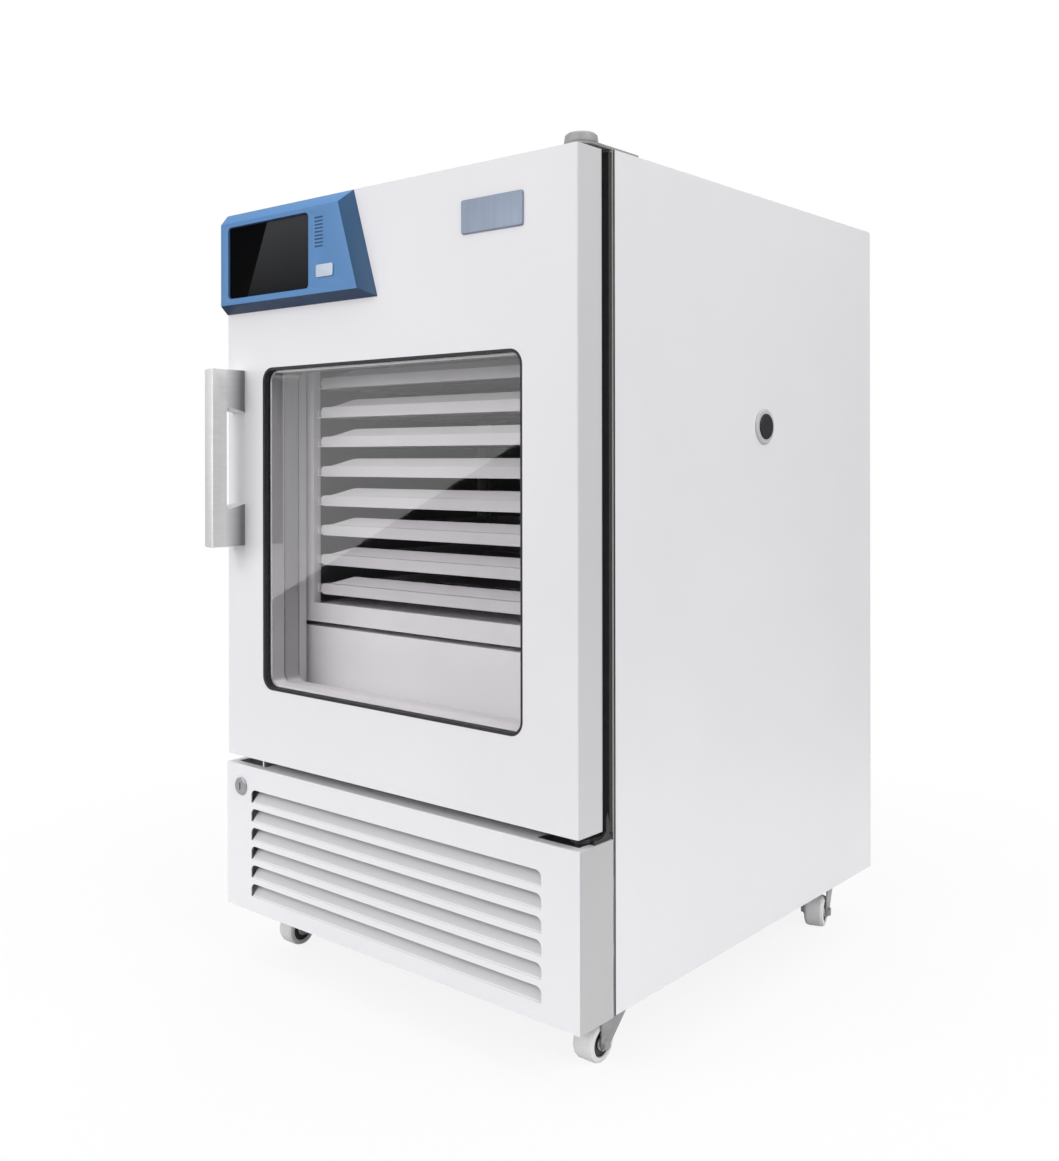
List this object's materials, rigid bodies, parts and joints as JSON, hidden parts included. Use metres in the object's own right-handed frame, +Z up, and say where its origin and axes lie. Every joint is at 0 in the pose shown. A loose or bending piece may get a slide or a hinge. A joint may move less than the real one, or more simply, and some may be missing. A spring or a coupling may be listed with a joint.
{
  "type": "platelet agitator",
  "caption": "Floor-standing incubator cabinet on casters with a glazed door, a louvred base and a reciprocating agitator rack of sliding trays inside.",
  "frame": {"origin": "centre of the bounding box's footprint, on the floor", "axes": "+Z up, +X to the right seen from the front, +Y towards the back (the door faces -Y)"},
  "size_m": [0.609, 0.7488, 1.012],
  "materials": {
    "white_paint": "powder coat",
    "white_plastic": "satin",
    "steel": "brushed",
    "foam": "foam",
    "black_plastic": "matte",
    "black_paint": "satin",
    "galvanised": "satin",
    "aluminium": "satin",
    "rubber": "matte",
    "glass": "clear",
    "blue_plastic": "satin",
    "screen": "gloss",
    "grey_plastic": "satin",
    "nylon": "satin",
    "grey_paint": "satin",
    "bronze": "satin"
  },
  "bodies": {
    "cabinet": {"outer_shell": "white_paint", "rear_panel": "white_paint", "inner_liner": "steel", "insulation_foam": "foam", "front_frame": "black_plastic", "chassis": "galvanised", "louvre_panel": "white_paint", "top_hinge": "grey_paint", "bottom_hinge": "grey_paint", "caster_plates": "galvanised", "compressor": "black_paint", "condenser": "aluminium", "evaporator": "aluminium", "duct_cover": "steel", "led_strip": "white_plastic", "electronics_box": "galvanised", "power_inlet": "black_plastic", "port_sleeve": "grey_plastic", "agitator_base": "white_paint", "agitator_feet": "rubber", "guide_rods": "steel", "agitator_motor": "black_paint"},
    "door": {"door_skin": "white_paint", "door_core": "foam", "door_inner_panel": "white_plastic", "window_seal": "rubber", "glass_spacer": "aluminium", "window_glass": "glass", "door_gasket": "rubber", "hinge_bushings": "bronze", "handle": "aluminium", "control_housing": "blue_plastic", "display_screen": "screen", "badge_plate": "aluminium"},
    "port_flap": {"port_flap": "grey_plastic"},
    "lock": {"lock_cylinder": "steel"},
    "port_plug": {"port_plug": "rubber"},
    "carriage": {"carriage_base": "white_paint", "carriage_frame": "white_paint", "linear_bearings": "aluminium"},
    "crank": {"crank_disc": "steel"},
    "rod": {"connecting_rod": "aluminium"},
    "condenser_fan": {"condenser_fan": "black_plastic"},
    "circulation_fan": {"circulation_fan": "black_plastic"},
    "tray_1": {"tray_1": "white_plastic"},
    "tray_2": {"tray_2": "white_plastic"},
    "tray_3": {"tray_3": "white_plastic"},
    "tray_4": {"tray_4": "white_plastic"},
    "tray_5": {"tray_5": "white_plastic"},
    "tray_6": {"tray_6": "white_plastic"},
    "tray_7": {"tray_7": "white_plastic"},
    "tray_8": {"tray_8": "white_plastic"},
    "fork_front_left": {"fork_front_left": "galvanised"},
    "wheel_front_left": {"wheel_front_left": "nylon"},
    "fork_front_right": {"fork_front_right": "galvanised"},
    "wheel_front_right": {"wheel_front_right": "nylon"},
    "fork_rear_left": {"fork_rear_left": "galvanised"},
    "wheel_rear_left": {"wheel_rear_left": "nylon"},
    "fork_rear_right": {"fork_rear_right": "galvanised"},
    "wheel_rear_right": {"wheel_rear_right": "nylon"}
  },
  "joints": [
    {"name": "door_hinge", "type": "hinge", "parent": "cabinet", "child": "door", "pos_m": [0.282, -0.29305, 0.6325], "axis": [0, 0, 1], "range_deg": [0, 90]},
    {"name": "flap_hinge", "type": "hinge", "parent": "door", "child": "port_flap", "pos_m": [-0.0935, -0.34195, 0.8983], "axis": [0, 0, -1], "range_deg": [0, 110]},
    {"name": "lock_turn", "type": "hinge", "parent": "cabinet", "child": "lock", "pos_m": [-0.2707, -0.32305, 0.2301], "axis": [0, -1, 0], "range_deg": [0, 90]},
    {"name": "plug_pull", "type": "slide", "parent": "cabinet", "child": "port_plug", "axis": [1, 0, 0], "range_m": [0, 0.06]},
    {"name": "carriage_slide", "type": "slide", "parent": "cabinet", "child": "carriage", "axis": [1, 0, 0], "range_m": [-0.019, 0.019]},
    {"name": "tray_1_slide", "type": "slide", "parent": "carriage", "child": "tray_1", "axis": [0, -1, 0], "range_m": [0, 0.2]},
    {"name": "tray_2_slide", "type": "slide", "parent": "carriage", "child": "tray_2", "axis": [0, -1, 0], "range_m": [0, 0.2]},
    {"name": "tray_3_slide", "type": "slide", "parent": "carriage", "child": "tray_3", "axis": [0, -1, 0], "range_m": [0, 0.2]},
    {"name": "tray_4_slide", "type": "slide", "parent": "carriage", "child": "tray_4", "axis": [0, -1, 0], "range_m": [0, 0.2]},
    {"name": "tray_5_slide", "type": "slide", "parent": "carriage", "child": "tray_5", "axis": [0, -1, 0], "range_m": [0, 0.2]},
    {"name": "tray_6_slide", "type": "slide", "parent": "carriage", "child": "tray_6", "axis": [0, -1, 0], "range_m": [0, 0.2]},
    {"name": "tray_7_slide", "type": "slide", "parent": "carriage", "child": "tray_7", "axis": [0, -1, 0], "range_m": [0, 0.2]},
    {"name": "tray_8_slide", "type": "slide", "parent": "carriage", "child": "tray_8", "axis": [0, -1, 0], "range_m": [0, 0.2]},
    {"name": "crank_spin", "type": "hinge", "parent": "cabinet", "child": "crank", "pos_m": [-0.06, -0.04705, 0.4455], "axis": [0, 0, 1], "continuous": true},
    {"name": "rod_pivot", "type": "hinge", "parent": "crank", "child": "rod", "pos_m": [-0.06, -0.06605, 0.4505], "axis": [0, 0, 1], "continuous": true},
    {"name": "condenser_fan_spin", "type": "hinge", "parent": "cabinet", "child": "condenser_fan", "pos_m": [-0.1, -0.16705, 0.1655], "axis": [0, 1, 0], "continuous": true},
    {"name": "circulation_fan_spin", "type": "hinge", "parent": "cabinet", "child": "circulation_fan", "pos_m": [0, 0.24595, 0.8675], "axis": [0, 1, 0], "continuous": true},
    {"name": "swivel_front_left", "type": "hinge", "parent": "cabinet", "child": "fork_front_left", "pos_m": [-0.2565, -0.21905, 0.057], "axis": [0, 0, 1], "continuous": true},
    {"name": "roll_front_left", "type": "hinge", "parent": "fork_front_left", "child": "wheel_front_left", "pos_m": [-0.2565, -0.24105, 0.0215], "axis": [1, 0, 0], "continuous": true},
    {"name": "swivel_front_right", "type": "hinge", "parent": "cabinet", "child": "fork_front_right", "pos_m": [0.2565, -0.21905, 0.057], "axis": [0, 0, 1], "continuous": true},
    {"name": "roll_front_right", "type": "hinge", "parent": "fork_front_right", "child": "wheel_front_right", "pos_m": [0.2565, -0.24105, 0.0215], "axis": [1, 0, 0], "continuous": true},
    {"name": "swivel_rear_left", "type": "hinge", "parent": "cabinet", "child": "fork_rear_left", "pos_m": [-0.2565, 0.29795, 0.057], "axis": [0, 0, 1], "continuous": true},
    {"name": "roll_rear_left", "type": "hinge", "parent": "fork_rear_left", "child": "wheel_rear_left", "pos_m": [-0.2565, 0.27595, 0.0215], "axis": [1, 0, 0], "continuous": true},
    {"name": "swivel_rear_right", "type": "hinge", "parent": "cabinet", "child": "fork_rear_right", "pos_m": [0.2565, 0.29795, 0.057], "axis": [0, 0, 1], "continuous": true},
    {"name": "roll_rear_right", "type": "hinge", "parent": "fork_rear_right", "child": "wheel_rear_right", "pos_m": [0.26256, 0.2768, 0.0215], "axis": [0.9613, 0.2756, 0], "continuous": true}
  ],
  "couplings": [
    {"joint": "tray_1_slide", "follows": "door_hinge", "m_per_rad": 0.127},
    {"joint": "tray_2_slide", "follows": "door_hinge", "m_per_rad": 0.127},
    {"joint": "tray_3_slide", "follows": "door_hinge", "m_per_rad": 0.127},
    {"joint": "tray_4_slide", "follows": "door_hinge", "m_per_rad": 0.127},
    {"joint": "tray_5_slide", "follows": "door_hinge", "m_per_rad": 0.127},
    {"joint": "tray_6_slide", "follows": "door_hinge", "m_per_rad": 0.127},
    {"joint": "tray_7_slide", "follows": "door_hinge", "m_per_rad": 0.127},
    {"joint": "tray_8_slide", "follows": "door_hinge", "m_per_rad": 0.127},
    {"joint": "rod_pivot", "follows": "crank_spin", "ratio": -1}
  ]
}
